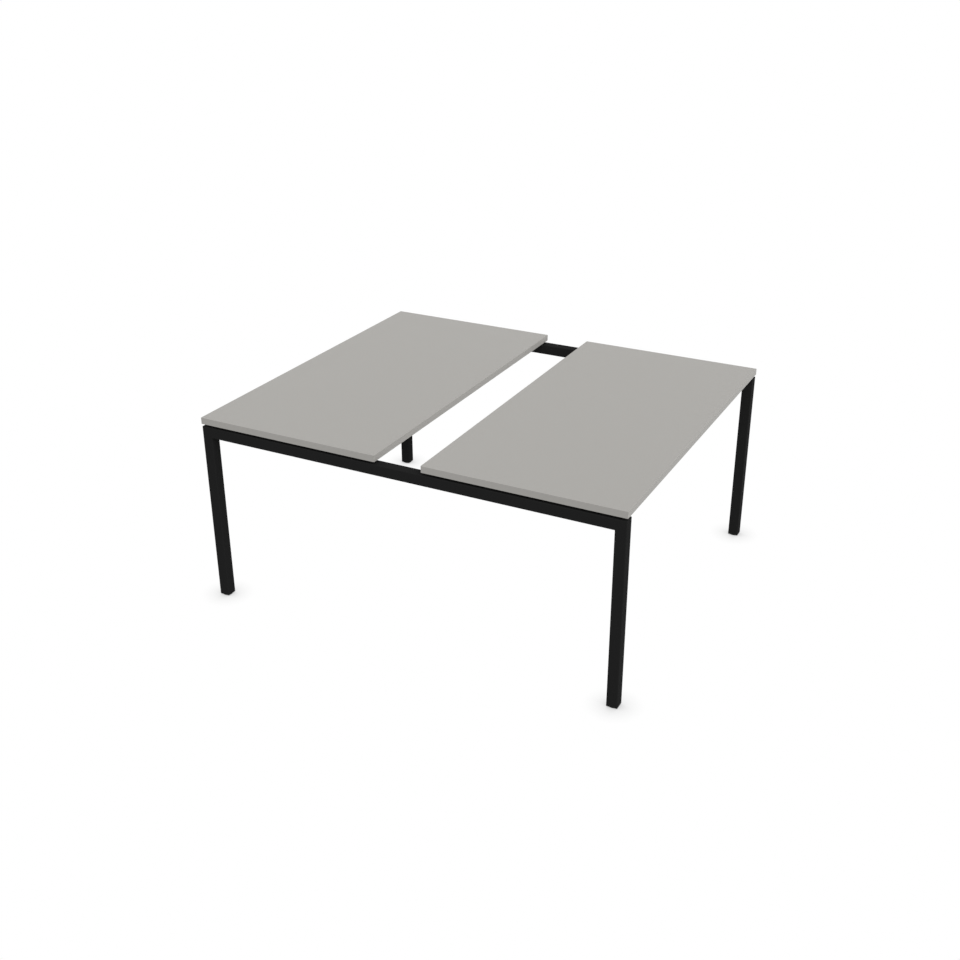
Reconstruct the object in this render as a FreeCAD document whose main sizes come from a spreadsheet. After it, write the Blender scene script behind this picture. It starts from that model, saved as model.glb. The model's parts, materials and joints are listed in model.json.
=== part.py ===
import FreeCAD, Part
import math
import os
import Sketcher
from FreeCAD import Placement, Rotation, Vector

# Meeting table: two worktops with an open channel between them, on one frame of square steel tube.
# +X runs across both tops, +Y along them, +Z up. The origin is on the floor under the middle.

# Driving dimensions in millimetres: alias, value and what it measures
SIZES = [
    ("table_width", 1640, "across both tops"),
    ("table_length", 1400, "along the tops"),
    ("table_height", 735, "floor to the working surface"),
    ("channel_width", 180, "open channel between the tops"),
    ("board_thick", 25, "thickness of a top"),
    ("edging_thick", 2, "thickness of the edging strips"),
    ("edging_corner", 1.5, "plan radius at the corners of a top"),
    ("edging_arris", 1.2, "radius along the upper and lower edges"),
    ("edging_joint", 0.1, "hairline where two strips meet"),
    ("shadow_gap", 9, "gap between the frame and the tops"),
    ("frame_inset", 2, "ends of the tops to the outer faces of the legs"),
    ("tube_side", 40, "square tube of the legs and rails"),
    ("tube_wall", 2, "wall of every tube"),
    ("tube_corner", 2.5, "outer corner radius of every tube"),
    ("mitre_margin", 5, "run of a mitre cut past the tube"),
    ("beam_width", 25, "width of the beams, which are as high as the rails"),
    ("beam_inset", 140, "edge of a top to the middle of the beam under it"),
    ("plate_width", 104, "end plate of a beam"),
    ("plate_height", 36, "end plate of a beam"),
    ("plate_thick", 4, "end plate of a beam"),
    ("plate_corner", 6, "corner radius of an end plate"),
    ("bolt_spacing", 70, "between the two bolts of an end plate"),
    ("bolt_hole", 9, "hole for a bolt in an end plate"),
    ("bolt_thread", 8, "diameter of a bolt"),
    ("bolt_length", 16, "bolt under its head"),
    ("bolt_collar", 17.8, "collar under a bolt head"),
    ("bolt_crown", 9, "flat on top of a bolt head"),
    ("bolt_head_high", 4.4, "height of a bolt head and its collar"),
    ("bolt_key", 5, "hexagon socket across its flats"),
    ("bolt_key_deep", 2.6, "depth of the socket"),
    ("rivet_nut_flange", 15, "diameter of the flange on the rail's face"),
    ("rivet_nut_rim", 0.8, "thickness of that flange"),
    ("rivet_nut_body", 11, "diameter through the wall of the rail"),
    ("rivet_nut_bulge", 13.4, "diameter of the set bulge behind the wall"),
    ("rivet_nut_length", 14, "reach behind the face of the rail"),
    ("collar_rim", 1.2, "thickness of a screw's or bolt's collar at its rim"),
    ("thread_play", 0.05, "radial play in every thread and pressed fit"),
    ("screw_thread", 6, "diameter of a top screw"),
    ("screw_length", 20, "top screw under its head"),
    ("screw_collar", 13.6, "collar under a screw head"),
    ("screw_crown", 7, "flat on top of a screw head"),
    ("screw_head_high", 3.3, "height of a screw head and its collar"),
    ("screw_key", 4, "hexagon socket across its flats"),
    ("screw_key_deep", 2, "depth of the socket"),
    ("screw_hole", 7, "hole for a screw in the upper wall of a tube"),
    ("access_hole", 15, "hole in the lower wall that lets the screw in"),
    ("spacer_size", 24, "diameter of the spacers under the tops"),
    ("spacer_hole", 6.6, "hole through a spacer"),
    ("insert_size", 10, "diameter of a threaded insert in a board"),
    ("insert_length", 13, "length of a threaded insert"),
    ("plug_flange", 2.7, "part of a leg plug that shows below the tube"),
    ("plug_side", 34.4, "outside of the plug's wall within the tube"),
    ("plug_wall", 1.8, "wall of a plug"),
    ("plug_corner", 3, "corner radius of a plug"),
    ("plug_depth", 27.5, "reach of a plug into the tube"),
    ("fin_thick", 1.2, "gripping fins round a plug"),
    ("fin_first", 5, "leg end up to the first fin"),
    ("fin_pitch", 8, "from fin to fin"),
    ("rib_thick", 1.6, "ribs between the boss and the wall"),
    ("rib_high", 16, "height of those ribs"),
    ("boss_size", 24, "boss round the nut"),
    ("boss_high", 19.5, "leg end up to the top of the boss"),
    ("recess_size", 20, "recess that takes the neck of the glide"),
    ("recess_deep", 12.5, "depth of the recess"),
    ("nut_seat", 12, "leg end up to the underside of the nut"),
    ("nut_across", 13, "nut in the plug, across its flats"),
    ("nut_high", 6.5, "height of the nut"),
    ("stem_thread", 8, "diameter of a glide's stem"),
    ("stem_hole", 9, "hole for the stem in the plug"),
    ("stem_top", 41.3, "floor to the tip of the stem, screwed right in"),
    ("stem_tip", 1, "bevel at the tip"),
    ("collar_across", 13, "hexagon collar that a spanner turns"),
    ("collar_base", 10.6, "floor to the underside of the collar"),
    ("collar_high", 3.7, "height of the collar"),
    ("waist_size", 5.2, "stem between its collar and its ball"),
    ("ball_size", 8.5, "ball on the end of the stem"),
    ("ball_high", 6, "floor to the centre of the ball"),
    ("socket_play", 0.06, "radial play of the ball in its pad"),
    ("pad_size", 36, "diameter of a glide's pad"),
    ("pad_thick", 3.5, "thickness of the pad at its rim"),
    ("pad_chamfer", 0.8, "bevels round the pad"),
    ("pad_play", 0.3, "gap from pad to plug, screwed right in"),
    ("neck_size", 17, "neck of the pad round the ball"),
    ("neck_top", 9, "floor to the top of the neck"),
]

# Counts
SCREW_ROWS = 3
PLUG_FINS = 3
PLUG_RIBS = 4

# Signs of the two sides and the two ends
SIDES = {"left": -1, "right": 1}
ENDS = {"front": -1, "rear": 1}

# Places that several pieces share, worked out from the cells
TOP_WIDTH = "((dims.table_width - dims.channel_width) / 2)"
TOP_CENTRE = "((dims.table_width + dims.channel_width) / 4)"
BOARD_BASE = "(dims.table_height - dims.board_thick)"
FRAME_TOP = f"({BOARD_BASE} - dims.shadow_gap)"
RAIL_AXIS = f"({FRAME_TOP} - dims.tube_side / 2)"
RAIL_LENGTH = "(dims.table_width - 2 * dims.frame_inset)"
LEG_X = f"({RAIL_LENGTH} / 2 - dims.tube_side / 2)"
LEG_Y = "(dims.table_length / 2 - dims.tube_side / 2)"
LEG_BASE = "(dims.pad_thick + dims.pad_play + dims.plug_flange)"
LEG_HEIGHT = f"({FRAME_TOP} - {LEG_BASE})"
BEAM_PITCH = f"({TOP_WIDTH} - 2 * dims.beam_inset)"
BEAM_LENGTH = "(dims.table_length - 2 * (dims.tube_side + dims.rivet_nut_rim + dims.plate_thick))"
INNER_BEAM = f"({TOP_CENTRE} - {BEAM_PITCH} / 2)"
OUTER_BEAM = f"({TOP_CENTRE} + {BEAM_PITCH} / 2)"
RAIL_INNER_FACE = f"({LEG_Y} - dims.tube_side / 2)"
SCREW_ROW_PITCH = f"(2 * {LEG_Y} / {SCREW_ROWS - 1})"
SCREW_SEAT = "(-dims.tube_wall)"
BOLT_SEAT = "(dims.rivet_nut_rim + dims.plate_thick)"

# Sketch point and axes that every sketch has
SKETCH_ORIGIN = (-1, 1)
AXIS_WHERE_ZERO = {"DistanceX": -2, "DistanceY": -1}

doc = FreeCAD.newDocument("meeting_table")
dims = doc.addObject("Spreadsheet::Sheet", "dims")
for row, (alias, value, note) in enumerate(SIZES, start=1):
    dims.set(f"A{row}", alias)
    dims.set(f"B{row}", str(value))
    dims.set(f"C{row}", note)
    dims.setAlias(f"B{row}", alias)
doc.recompute()

nodes = {}


# Document helpers

def measure(formula):
    """Value of a formula of the sheet's cells, in millimetres."""
    return float(dims.evalExpression(formula))


def new_body(label):
    body = doc.addObject("PartDesign::Body", label)
    body.Label = label
    nodes[label] = body
    return body


def place(part, x="0", y="0", z="0", turn=0):
    """Stand a sub-part at its place, turned about +Z by so many degrees."""
    part.Placement = Placement(Vector(), Rotation(Vector(0, 0, 1), turn))
    for axis, formula in zip("xyz", (x, y, z)):
        part.setExpression(f"Placement.Base.{axis}", formula)


def origin_feature(body, role):
    return next(item for item in body.Origin.OriginFeatures if item.Role == role)


def attach(item, body, role, x="0", y="0", z="0"):
    """Lie a sketch or primitive on one of its body's planes, moved along that plane's axes and normal."""
    item.AttachmentSupport = [(origin_feature(body, role), "")]
    item.MapMode = "FlatFace"
    for axis, formula in zip("xyz", (x, y, z)):
        item.setExpression(f"AttachmentOffset.Base.{axis}", formula)


def add(body, kind, label, sizes=None, **settings):
    """Add a feature with its settings, and bind its sizes to formulas."""
    feature = body.newObject(f"PartDesign::{kind}", f"{body.Label}_{label}")
    for name, value in settings.items():
        setattr(feature, name, value)
    for name, formula in (sizes or {}).items():
        feature.setExpression(name, formula)
    body.Tip = feature
    return feature


def add_primitive(body, kind, label, sizes, role="XY_Plane", x="0", y="0", z="0", **settings):
    attach(add(body, kind, label, sizes, **settings), body, role, x, y, z)


def cut_through(body, label, sketch, **settings):
    return add(body, "Pocket", label, Profile=sketch, Type="ThroughAll", **settings)


def turn_profile(body, label, sketch):
    """Revolve a profile about the upright axis of its own sketch."""
    return add(body, "Revolution", label, Profile=sketch, ReferenceAxis=(sketch, ["V_Axis"]), Angle=360)


def repeat_whole(body, kind, label, sizes=None, **settings):
    """Pattern or mirror all of a body so far, which has to be built first."""
    doc.recompute()
    add(body, kind, label, sizes, TransformMode="Whole shape", **settings)


def mirror_whole(body, label, role):
    repeat_whole(body, "Mirrored", label, MirrorPlane=(origin_feature(body, role), [""]))


def round_edges(body, label, radius, chosen):
    """Fillet the edges of the last feature whose middle point passes the test."""
    doc.recompute()
    base = body.Tip
    names = [f"Edge{number}" for number, edge in enumerate(base.Shape.Edges, start=1)
             if chosen(edge.CenterOfMass)]
    return add(body, "Fillet", label, {"Radius": radius}, Base=(base, names))


# Sketch helpers

def new_sketch(body, label, role, x="0", y="0", z="0"):
    sketch = body.newObject("Sketcher::SketchObject", f"{body.Label}_{label}")
    attach(sketch, body, role, x, y, z)
    return sketch


def bind(sketch, kind, formula, *picks):
    """Hold a sketch dimension to a formula."""
    index = sketch.addConstraint(Sketcher.Constraint(kind, *picks, measure(formula)))
    sketch.setExpression(f"Constraints[{index}]", formula)


def pin(sketch, point, x, y):
    """Hold a sketch point to its place, on the axis itself where a distance is zero."""
    for kind, formula in (("DistanceX", x), ("DistanceY", y)):
        if measure(formula) == 0:
            sketch.addConstraint(Sketcher.Constraint("PointOnObject", *point, AXIS_WHERE_ZERO[kind]))
        else:
            bind(sketch, kind, formula, *SKETCH_ORIGIN, *point)


def draw_polygon(sketch, corners):
    places = [Vector(measure(x), measure(y), 0) for x, y in corners]
    sides = [sketch.addGeometry(Part.LineSegment(start, end))
             for start, end in zip(places, places[1:] + places[:1])]
    for side, following in zip(sides, sides[1:] + sides[:1]):
        sketch.addConstraint(Sketcher.Constraint("Coincident", side, 2, following, 1))
    for side, (x, y) in zip(sides, corners):
        pin(sketch, (side, 1), x, y)


def draw_circle(sketch, diameter, x="0", y="0"):
    centre = Vector(measure(x), measure(y), 0)
    circle = sketch.addGeometry(Part.Circle(centre, Vector(0, 0, 1), measure(diameter) / 2))
    bind(sketch, "Diameter", diameter, circle)
    pin(sketch, (circle, 3), x, y)


def draw_rounded_rectangle(sketch, width, height, radius):
    """Centred rectangle with equal round corners, drawn anticlockwise from its lower side."""
    half_x = measure(width) / 2
    half_y = measure(height) / 2
    corner = measure(radius)
    inner_x = half_x - corner
    inner_y = half_y - corner
    sides = [((-inner_x, -half_y), (inner_x, -half_y)), ((half_x, -inner_y), (half_x, inner_y)),
             ((inner_x, half_y), (-inner_x, half_y)), ((-half_x, inner_y), (-half_x, -inner_y))]
    centres = [(inner_x, -inner_y), (inner_x, inner_y), (-inner_x, inner_y), (-inner_x, -inner_y)]
    lines = [sketch.addGeometry(Part.LineSegment(Vector(*start, 0), Vector(*end, 0)))
             for start, end in sides]
    quarter_turn = math.pi / 2
    arcs = []
    for number, centre in enumerate(centres):
        circle = Part.Circle(Vector(*centre, 0), Vector(0, 0, 1), corner)
        arc = Part.ArcOfCircle(circle, (number - 1) * quarter_turn, number * quarter_turn)
        arcs.append(sketch.addGeometry(arc))
    for line, arc, following in zip(lines, arcs, lines[1:] + lines[:1]):
        sketch.addConstraint(Sketcher.Constraint("Tangent", line, 2, arc, 1))
        sketch.addConstraint(Sketcher.Constraint("Tangent", arc, 2, following, 1))
    for line, direction in zip(lines, ("Horizontal", "Vertical") * 2):
        sketch.addConstraint(Sketcher.Constraint(direction, line))
    for arc in arcs[1:]:
        sketch.addConstraint(Sketcher.Constraint("Equal", arcs[0], arc))
    sketch.addConstraint(Sketcher.Constraint("Symmetric", arcs[0], 3, arcs[2], 3, *SKETCH_ORIGIN))
    bind(sketch, "DistanceX", width, lines[3], 1, lines[1], 1)
    bind(sketch, "DistanceY", height, lines[0], 1, lines[2], 1)
    bind(sketch, "Radius", radius, arcs[0])


# Tops

TOP_GRID_REACH = {"Length": BEAM_PITCH, "Length2": f"2 * {LEG_Y}"}


def top_grid(body):
    """The two beam lines and all screw rows of one top, as directions and counts."""
    return {"Direction": (origin_feature(body, "X_Axis"), [""]), "Occurrences": 2,
            "Direction2": (origin_feature(body, "Y_Axis"), [""]), "Occurrences2": SCREW_ROWS}


def repeat_on_top(body):
    """Repeat a fixing over the two beam lines and all screw rows of one top."""
    repeat_whole(body, "LinearPattern", "grid", TOP_GRID_REACH, **top_grid(body))


def turn_on_top(body, profile):
    """Turn a fixing about the first screw line of a top, with z counted from the top of the frame."""
    sketch = new_sketch(body, "profile", "XZ_Plane", x=f"-{BEAM_PITCH} / 2", z=LEG_Y)
    draw_polygon(sketch, profile)
    turn_profile(body, "turned", sketch)


def make_board(label, x):
    board = new_body(label)
    outline = new_sketch(board, "outline", "XY_Plane")
    half_x = f"({TOP_WIDTH} / 2 - dims.edging_thick)"
    half_y = "(dims.table_length / 2 - dims.edging_thick)"
    draw_polygon(outline, [(f"-{half_x}", f"-{half_y}"), (half_x, f"-{half_y}"),
                           (half_x, half_y), (f"-{half_x}", half_y)])
    add(board, "Pad", "core", {"Length": "dims.board_thick"}, Profile=outline)
    mouth = new_sketch(board, "insert_mouth", "XY_Plane")
    draw_circle(mouth, "dims.insert_size + 2 * dims.thread_play", f"-{BEAM_PITCH} / 2", f"-{LEG_Y}")
    hole = add(board, "Pocket", "insert_hole", {"Length": "dims.insert_length"},
               Profile=mouth, Reversed=True)
    add(board, "LinearPattern", "insert_holes", TOP_GRID_REACH, Originals=[hole], **top_grid(board))
    place(board, x, z=BOARD_BASE)


def make_edging(label, x):
    """Four strips round a board: the long ones cover the ends of the short ones."""
    edging = new_body(label)
    half_x = f"({TOP_WIDTH} / 2)"
    half_y = "(dims.table_length / 2)"
    inner_x = f"({half_x} - dims.edging_thick)"
    inner_y = f"({half_y} - dims.edging_thick)"
    butt_x = f"({inner_x} - dims.edging_joint)"
    strips = new_sketch(edging, "strips", "XY_Plane")
    for sign in (-1, 1):
        draw_polygon(strips, [(f"{sign} * {inner_x}", f"-{half_y}"), (f"{sign} * {half_x}", f"-{half_y}"),
                              (f"{sign} * {half_x}", half_y), (f"{sign} * {inner_x}", half_y)])
        draw_polygon(strips, [(f"-{butt_x}", f"{sign} * {inner_y}"), (butt_x, f"{sign} * {inner_y}"),
                              (butt_x, f"{sign} * {half_y}"), (f"-{butt_x}", f"{sign} * {half_y}")])
    add(edging, "Pad", "band", {"Length": "dims.board_thick"}, Profile=strips)
    end_x = measure(half_x)
    end_y = measure(half_y)
    thick = measure("dims.board_thick")
    near = measure("dims.edging_corner")

    def at_corner(point):
        return abs(point.z - thick / 2) < near and end_x - abs(point.x) < near / 2

    def at_arris(point):
        outside = max(abs(point.x) - end_x, abs(point.y) - end_y) > -near / 2
        return outside and min(point.z, thick - point.z) < near / 2

    round_edges(edging, "corners", "dims.edging_corner", at_corner)
    round_edges(edging, "arrises", "dims.edging_arris", at_arris)
    place(edging, x, z=BOARD_BASE)


def make_inserts(label, x):
    inserts = new_body(label)
    outer = "dims.insert_size / 2"
    bore = "(dims.screw_thread / 2 + dims.thread_play)"
    base = "dims.shadow_gap"
    tip = "(dims.shadow_gap + dims.insert_length)"
    turn_on_top(inserts, [(bore, base), (outer, base), (outer, tip), (bore, tip)])
    repeat_on_top(inserts)
    place(inserts, x, z=FRAME_TOP)


def make_spacers(label, x):
    spacers = new_body(label)
    outer = "dims.spacer_size / 2"
    bore = "dims.spacer_hole / 2"
    top = "dims.shadow_gap"
    turn_on_top(spacers, [(bore, "0"), (outer, "0"), (outer, top), (bore, top)])
    repeat_on_top(spacers)
    place(spacers, x, z=FRAME_TOP)


def make_screws(label, x):
    """Collared socket screws that come up through the tubes, with their heads inside."""
    screws = new_body(label)
    collar = "dims.screw_collar / 2"
    shank = "dims.screw_thread / 2"
    low = f"({SCREW_SEAT} - dims.screw_head_high)"
    tip = f"{SCREW_SEAT} + dims.screw_length"
    turn_on_top(screws, [("0", low), ("dims.screw_crown / 2", low),
                         (collar, f"{SCREW_SEAT} - dims.collar_rim"), (collar, SCREW_SEAT),
                         (shank, SCREW_SEAT), (shank, tip), ("0", tip)])
    add_primitive(screws, "SubtractivePrism", "socket",
                  {"Circumradius": "dims.screw_key / sqrt(3)", "Height": "dims.screw_key_deep"},
                  x=f"-{BEAM_PITCH} / 2", y=f"-{LEG_Y}", z=low, Polygon=6)
    repeat_on_top(screws)
    place(screws, x, z=FRAME_TOP)


# Frame

def add_tube(body, role, width, height, length, side_type):
    """Hollow tube with round corners, drawn square to the named plane."""
    section = new_sketch(body, "section", role)
    draw_rounded_rectangle(section, width, height, "dims.tube_corner")
    draw_rounded_rectangle(section, f"{width} - 2 * dims.tube_wall", f"{height} - 2 * dims.tube_wall",
                           "dims.tube_corner - dims.tube_wall")
    add(body, "Pad", "tube", {"Length": length}, Profile=section, SideType=side_type)


def cut_screw_holes(body, places):
    """Holes for the top screws in the upper wall, and the larger ones below that let the screws in."""
    for label, diameter, upwards in (("screw_holes", "dims.screw_hole", True),
                                     ("access_holes", "dims.access_hole", False)):
        sketch = new_sketch(body, f"{label}_plan", "XY_Plane")
        for x, y in places:
            draw_circle(sketch, diameter, x, y)
        cut_through(body, label, sketch, Reversed=upwards)


def make_leg(label, side, end):
    """Leg with its head mitred to meet the rail."""
    leg = new_body(label)
    add_tube(leg, "XY_Plane", "dims.tube_side", "dims.tube_side", LEG_HEIGHT, "One side")
    reach = "(dims.tube_side / 2 + dims.mitre_margin)"
    high = f"{LEG_HEIGHT} + dims.mitre_margin"
    low = f"{LEG_HEIGHT} - dims.tube_side - dims.mitre_margin"
    wedge = new_sketch(leg, "wedge", "XZ_Plane")
    draw_polygon(wedge, [(reach, high), (f"-{reach}", high), (f"-{reach}", low)])
    cut_through(leg, "mitre", wedge, SideType="Symmetric")
    place(leg, f"{side} * {LEG_X}", f"{end} * {LEG_Y}", LEG_BASE, turn=0 if side > 0 else 180)


def make_rail(label, end):
    """Rail across two legs, mitred at both ends, with its rivet nut holes in the inner face."""
    rail = new_body(label)
    add_tube(rail, "YZ_Plane", "dims.tube_side", "dims.tube_side", RAIL_LENGTH, "Symmetric")
    reach = f"({RAIL_LENGTH} / 2 + dims.mitre_margin)"
    inner = f"({RAIL_LENGTH} / 2 - dims.tube_side - dims.mitre_margin)"
    high = "(dims.tube_side / 2 + dims.mitre_margin)"
    wedges = new_sketch(rail, "wedges", "XZ_Plane")
    for sign in SIDES.values():
        draw_polygon(wedges, [(f"{sign} * {reach}", high), (f"{sign} * {reach}", f"-{high}"),
                              (f"{sign} * {inner}", f"-{high}")])
    cut_through(rail, "mitres", wedges, SideType="Symmetric")
    beam_lines = [f"{sign} * {beam}" for sign in SIDES.values() for beam in (INNER_BEAM, OUTER_BEAM)]
    cut_screw_holes(rail, [(x, "0") for x in beam_lines])
    nut_holes = new_sketch(rail, "nut_holes_plan", "XZ_Plane")
    for x in beam_lines:
        for sign in (-1, 1):
            draw_circle(nut_holes, "dims.rivet_nut_body + 2 * dims.thread_play",
                        f"{x} + {sign} * dims.bolt_spacing / 2")
    cut_through(rail, "nut_holes", nut_holes)
    place(rail, "0", f"{end} * {LEG_Y}", RAIL_AXIS, turn=0 if end < 0 else 180)


def make_beam(label, x):
    beam = new_body(label)
    add_tube(beam, "XZ_Plane", "dims.beam_width", "dims.tube_side", BEAM_LENGTH, "Symmetric")
    inner_rows = [f"{row} * {SCREW_ROW_PITCH} - {LEG_Y}" for row in range(1, SCREW_ROWS - 1)]
    cut_screw_holes(beam, [("0", y) for y in inner_rows])
    place(beam, x, z=RAIL_AXIS)


def make_end_plates(label, x):
    """The two plates welded on the ends of a beam."""
    plates = new_body(label)
    outline = new_sketch(plates, "outline", "XZ_Plane", z=f"-{BEAM_LENGTH} / 2")
    draw_rounded_rectangle(outline, "dims.plate_width", "dims.plate_height", "dims.plate_corner")
    for sign in (-1, 1):
        draw_circle(outline, "dims.bolt_hole", f"{sign} * dims.bolt_spacing / 2")
    add(plates, "Pad", "plate", {"Length": "dims.plate_thick"}, Profile=outline, Reversed=True)
    mirror_whole(plates, "both_ends", "XZ_Plane")
    place(plates, x, z=RAIL_AXIS)


# Fixings between the beams and a rail, with y counted inwards from the inner face of the rail

FIRST_FIXING = f"(-{OUTER_BEAM} - dims.bolt_spacing / 2)"


def turn_on_rail(body, profile):
    sketch = new_sketch(body, "profile", "XY_Plane", x=FIRST_FIXING)
    draw_polygon(sketch, profile)
    turn_profile(body, "turned", sketch)


def repeat_on_rail(body):
    """Two fixings at each beam of one side, then the same at the other side."""
    across = (origin_feature(body, "X_Axis"), [""])
    repeat_whole(body, "LinearPattern", "pairs", {"Length": "dims.bolt_spacing", "Length2": BEAM_PITCH},
                 Direction=across, Occurrences=2, Direction2=across, Occurrences2=2)
    mirror_whole(body, "other_side", "YZ_Plane")


def place_on_rail(body, end):
    place(body, "0", f"{end} * {RAIL_INNER_FACE}", RAIL_AXIS, turn=0 if end < 0 else 180)


def make_rivet_nuts(label, end):
    """Threaded rivet nuts set in the wall of a rail, each with its flange outside and its bulge inside."""
    nuts = new_body(label)
    bore = "(dims.bolt_thread / 2 + dims.thread_play)"
    flange = "dims.rivet_nut_flange / 2"
    barrel = "dims.rivet_nut_body / 2"
    bulge = "dims.rivet_nut_bulge / 2"
    back = "(-dims.tube_wall)"
    tail = "(-dims.rivet_nut_length)"
    turn_on_rail(nuts, [(bore, "dims.rivet_nut_rim"), (flange, "dims.rivet_nut_rim"), (flange, "0"),
                        (barrel, "0"), (barrel, back), (bulge, back), (barrel, tail), (bore, tail)])
    repeat_on_rail(nuts)
    place_on_rail(nuts, end)


def make_bolts(label, end):
    """Collared socket bolts through the end plates into the rivet nuts."""
    bolts = new_body(label)
    collar = "dims.bolt_collar / 2"
    shank = "dims.bolt_thread / 2"
    face = f"({BOLT_SEAT} + dims.bolt_head_high)"
    tip = f"{BOLT_SEAT} - dims.bolt_length"
    turn_on_rail(bolts, [("0", tip), (shank, tip), (shank, BOLT_SEAT), (collar, BOLT_SEAT),
                         (collar, f"{BOLT_SEAT} + dims.collar_rim"), ("dims.bolt_crown / 2", face),
                         ("0", face)])
    add_primitive(bolts, "SubtractivePrism", "socket",
                  {"Circumradius": "dims.bolt_key / sqrt(3)", "Height": "dims.bolt_key_deep"},
                  role="XZ_Plane", x=FIRST_FIXING, z=f"-{face}", Polygon=6)
    repeat_on_rail(bolts)
    place_on_rail(bolts, end)


# Feet

def make_plug(label, x, y):
    """Moulded plug in the end of a leg: flange, finned wall, and a ribbed boss that holds the nut."""
    plug = new_body(label)
    rim = new_sketch(plug, "rim", "XY_Plane")
    draw_rounded_rectangle(rim, "dims.tube_side", "dims.tube_side", "dims.tube_corner")
    add(plug, "Pad", "flange", {"Length": "dims.plug_flange"}, Profile=rim, Reversed=True)
    core_side = "dims.plug_side - 2 * dims.plug_wall"
    core_corner = "dims.plug_corner - dims.plug_wall"
    ring = new_sketch(plug, "ring", "XY_Plane")
    draw_rounded_rectangle(ring, "dims.plug_side", "dims.plug_side", "dims.plug_corner")
    draw_rounded_rectangle(ring, core_side, core_side, core_corner)
    add(plug, "Pad", "wall", {"Length": "dims.plug_depth"}, Profile=ring)
    lip = new_sketch(plug, "lip", "XY_Plane", z="dims.fin_first")
    fin_side = "dims.tube_side - 2 * dims.tube_wall"
    draw_rounded_rectangle(lip, fin_side, fin_side, "dims.plug_corner")
    mid_wall = "(dims.plug_side - dims.plug_wall)"
    draw_rounded_rectangle(lip, mid_wall, mid_wall, core_corner)
    fin = add(plug, "Pad", "fin", {"Length": "dims.fin_thick"}, Profile=lip)
    add(plug, "LinearPattern", "fins", {"Length": f"{PLUG_FINS - 1} * dims.fin_pitch"}, Originals=[fin],
        Direction=(origin_feature(plug, "Z_Axis"), [""]), Occurrences=PLUG_FINS)
    post = new_sketch(plug, "post", "XY_Plane")
    draw_circle(post, "dims.boss_size")
    add(plug, "Pad", "boss", {"Length": "dims.boss_high"}, Profile=post)
    web = new_sketch(plug, "web", "XY_Plane")
    web_end = f"{mid_wall} / 2"
    web_half = "(dims.rib_thick / 2)"
    draw_polygon(web, [("0", f"-{web_half}"), (web_end, f"-{web_half}"),
                       (web_end, web_half), ("0", web_half)])
    rib = add(plug, "Pad", "rib", {"Length": "dims.rib_high"}, Profile=web)
    add(plug, "PolarPattern", "ribs", Originals=[rib], Axis=(origin_feature(plug, "Z_Axis"), [""]),
        Angle=360, Occurrences=PLUG_RIBS)
    hollow = new_sketch(plug, "hollow", "XY_Plane", z="-dims.plug_flange")
    draw_circle(hollow, "dims.recess_size")
    add(plug, "Pocket", "recess", {"Length": "dims.recess_deep"}, Profile=hollow, Reversed=True)
    bore = new_sketch(plug, "bore", "XY_Plane")
    draw_circle(bore, "dims.stem_hole")
    cut_through(plug, "stem_bore", bore, Reversed=True)
    add_primitive(plug, "SubtractivePrism", "nut_pocket",
                  {"Circumradius": "(dims.nut_across + 2 * dims.thread_play) / sqrt(3)",
                   "Height": "dims.boss_high - dims.nut_seat"}, z="dims.nut_seat", Polygon=6)
    place(plug, x, y, LEG_BASE)


def make_nut(label, x, y):
    """Hexagon nut, a prism bored through for the stem."""
    blank = doc.addObject("Part::Prism", f"{label}_blank")
    blank.Polygon = 6
    blank.setExpression("Circumradius", "dims.nut_across / sqrt(3)")
    blank.setExpression("Height", "dims.nut_high")
    drill = doc.addObject("Part::Cylinder", f"{label}_drill")
    drill.setExpression("Radius", "dims.stem_thread / 2 + dims.thread_play")
    drill.setExpression("Height", "dims.nut_high")
    nut = doc.addObject("Part::Cut", label)
    nut.Label = label
    nut.Base = blank
    nut.Tool = drill
    nodes[label] = nut
    place(nut, x, y, f"{LEG_BASE} + dims.nut_seat")


def make_stem(label, x, y):
    """Threaded stem of a glide, with its spanner collar and ball."""
    stem = new_body(label)
    waist = "dims.waist_size / 2"
    thread = "dims.stem_thread / 2"
    shoulder = "dims.collar_base + dims.collar_high / 2"
    half = new_sketch(stem, "profile", "XZ_Plane")
    draw_polygon(half, [("0", "dims.ball_high"), (waist, "dims.ball_high"), (waist, shoulder),
                        (thread, shoulder), (thread, "dims.stem_top - dims.stem_tip"),
                        (f"{thread} - dims.stem_tip", "dims.stem_top"), ("0", "dims.stem_top")])
    turn_profile(stem, "shank", half)
    add_primitive(stem, "AdditiveSphere", "ball", {"Radius": "dims.ball_size / 2"}, z="dims.ball_high")
    add_primitive(stem, "AdditivePrism", "collar",
                  {"Circumradius": "dims.collar_across / sqrt(3)", "Height": "dims.collar_high"},
                  z="dims.collar_base", Polygon=6)
    place(stem, x, y)


def make_pad(label, x, y):
    """Round pad of a glide, with the neck that snaps over the ball."""
    pad = new_body(label)
    rim = "dims.pad_size / 2"
    neck = "dims.neck_size / 2"
    bevel = "dims.pad_chamfer"
    half = new_sketch(pad, "profile", "XZ_Plane")
    draw_polygon(half, [("0", "0"), (f"{rim} - {bevel}", "0"), (rim, bevel),
                        (rim, f"dims.pad_thick - {bevel}"), (f"{rim} - {bevel}", "dims.pad_thick"),
                        (neck, "dims.pad_thick"), (neck, f"dims.neck_top - {bevel}"),
                        (f"{neck} - {bevel}", "dims.neck_top"), ("0", "dims.neck_top")])
    turn_profile(pad, "disc", half)
    add_primitive(pad, "SubtractiveSphere", "socket", {"Radius": "dims.ball_size / 2 + dims.socket_play"},
                  z="dims.ball_high")
    place(pad, x, y)


# Assembly

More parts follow.
